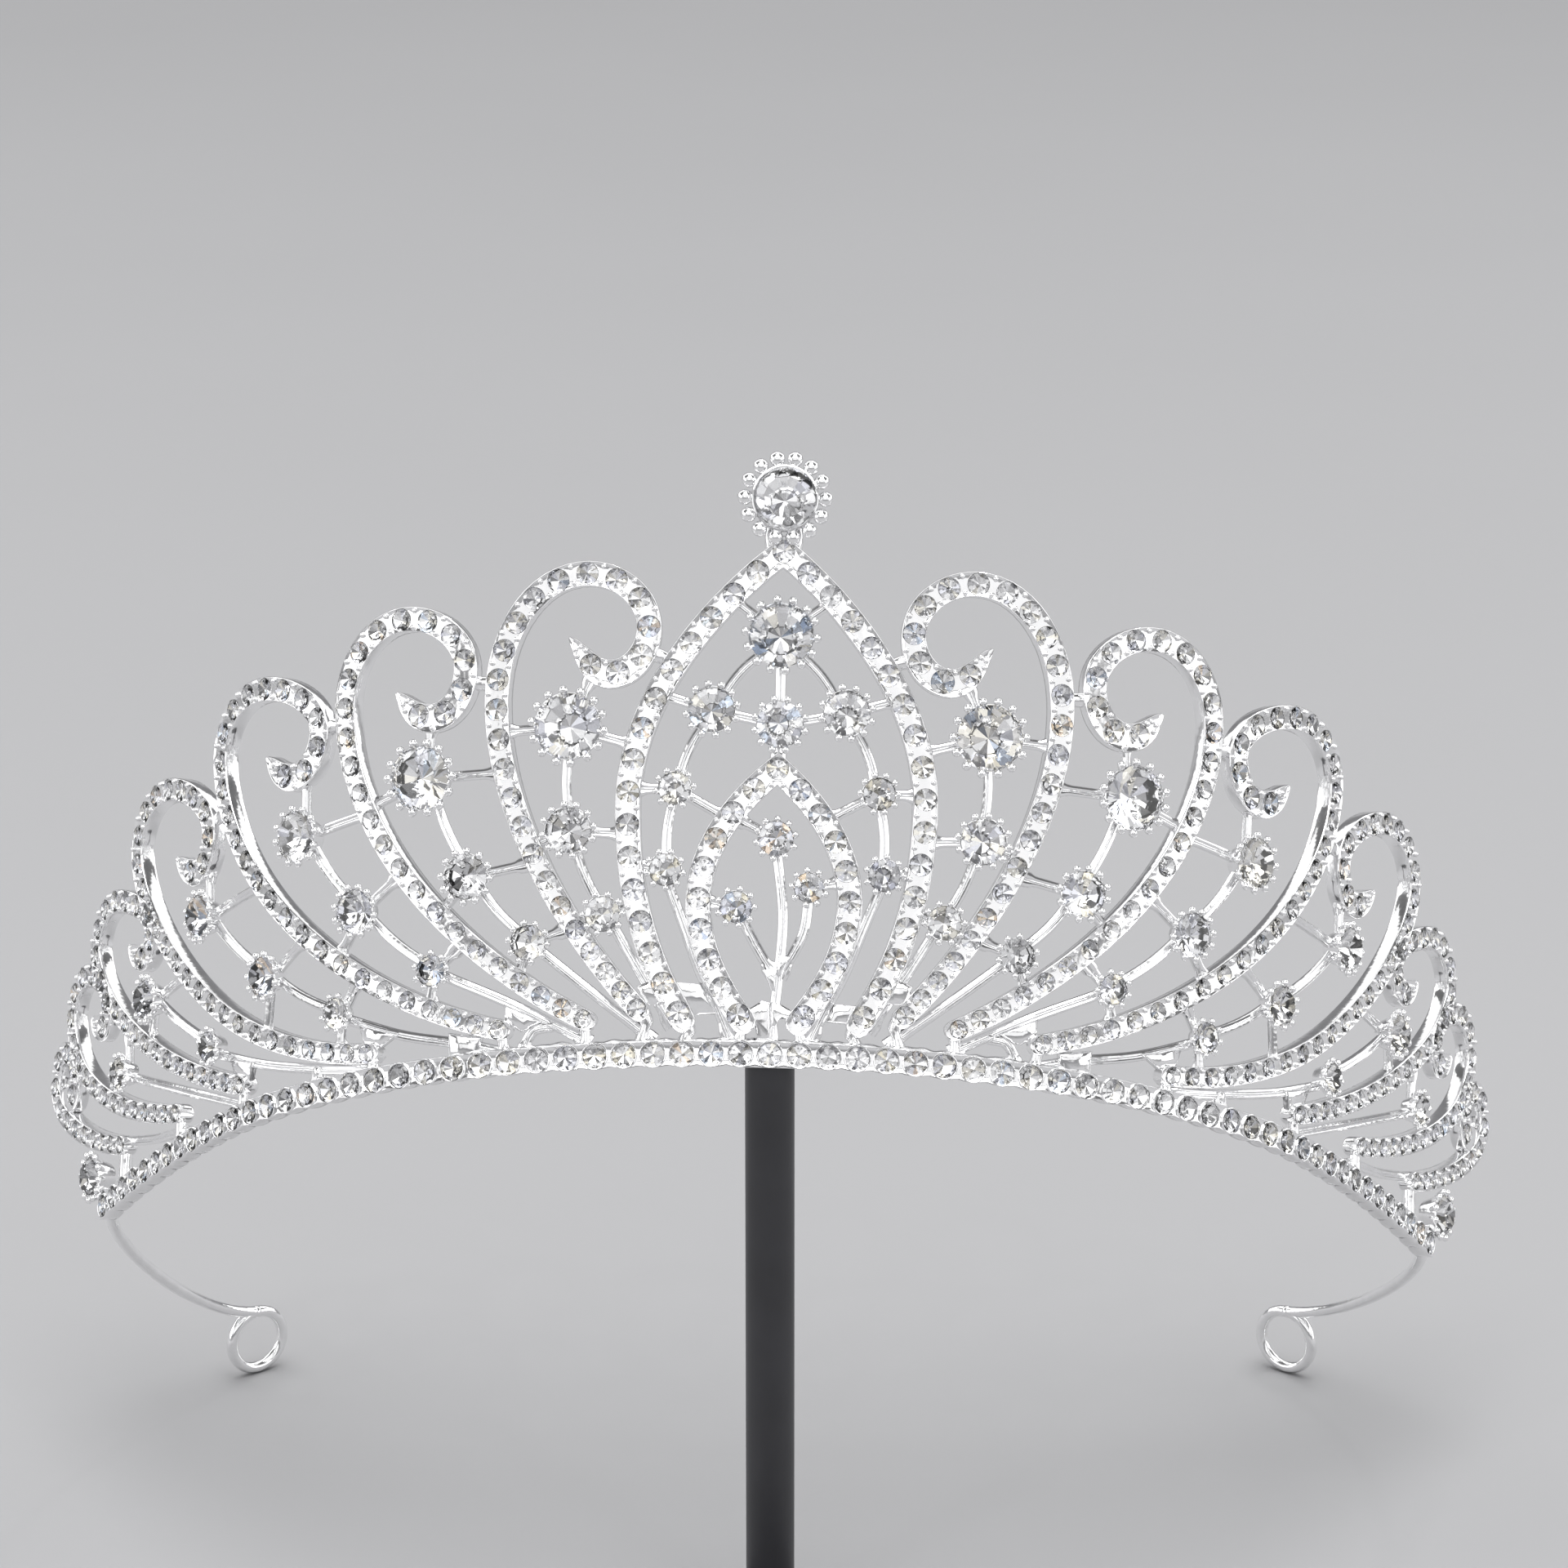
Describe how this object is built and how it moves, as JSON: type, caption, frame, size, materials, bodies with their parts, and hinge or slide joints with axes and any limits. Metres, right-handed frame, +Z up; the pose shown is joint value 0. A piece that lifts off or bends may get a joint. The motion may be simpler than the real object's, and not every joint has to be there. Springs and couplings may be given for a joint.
{
  "type": "bridal crown on a display post",
  "caption": "Openwork bridal crown: pointed almonds and scrolls on an arched band, set with clear stones, with a wire eye behind each end, leaning back on a plain black display post.",
  "frame": {"origin": "centre of the underside of the display foot, on the surface that the part stands on", "axes": "+X to the right as seen from the front, +Y to the back of the crown, +Z up"},
  "size_m": [0.1592, 0.0908, 0.1183],
  "materials": {
    "silver": "polished rhodium plate",
    "stone": "cut and clear",
    "stand": "satin"
  },
  "bodies": {
    "root": {"crown_frame": "silver", "finial_stone": "stone", "centre_stone_01": "stone", "centre_stone_02": "stone", "centre_stone_03": "stone", "centre_stone_04": "stone", "centre_stone_05": "stone", "centre_stone_06": "stone", "centre_stone_07": "stone", "centre_stone_08": "stone", "centre_stone_09": "stone", "centre_stone_10": "stone", "centre_stone_11": "stone", "left_stone_01": "stone", "left_stone_02": "stone", "left_stone_03": "stone", "left_stone_04": "stone", "left_stone_05": "stone", "left_stone_06": "stone", "left_stone_07": "stone", "left_stone_08": "stone", "left_stone_09": "stone", "left_stone_10": "stone", "left_stone_11": "stone", "left_stone_12": "stone", "left_stone_13": "stone", "left_stone_14": "stone", "left_stone_15": "stone", "left_stone_16": "stone", "right_stone_01": "stone", "right_stone_02": "stone", "right_stone_03": "stone", "right_stone_04": "stone", "right_stone_05": "stone", "right_stone_06": "stone", "right_stone_07": "stone", "right_stone_08": "stone", "right_stone_09": "stone", "right_stone_10": "stone", "right_stone_11": "stone", "right_stone_12": "stone", "right_stone_13": "stone", "right_stone_14": "stone", "right_stone_15": "stone", "right_stone_16": "stone", "band_stones": "stone", "almond_stones": "stone", "stand_post": "stand", "stand_foot": "stand"}
  },
  "joints": []
}
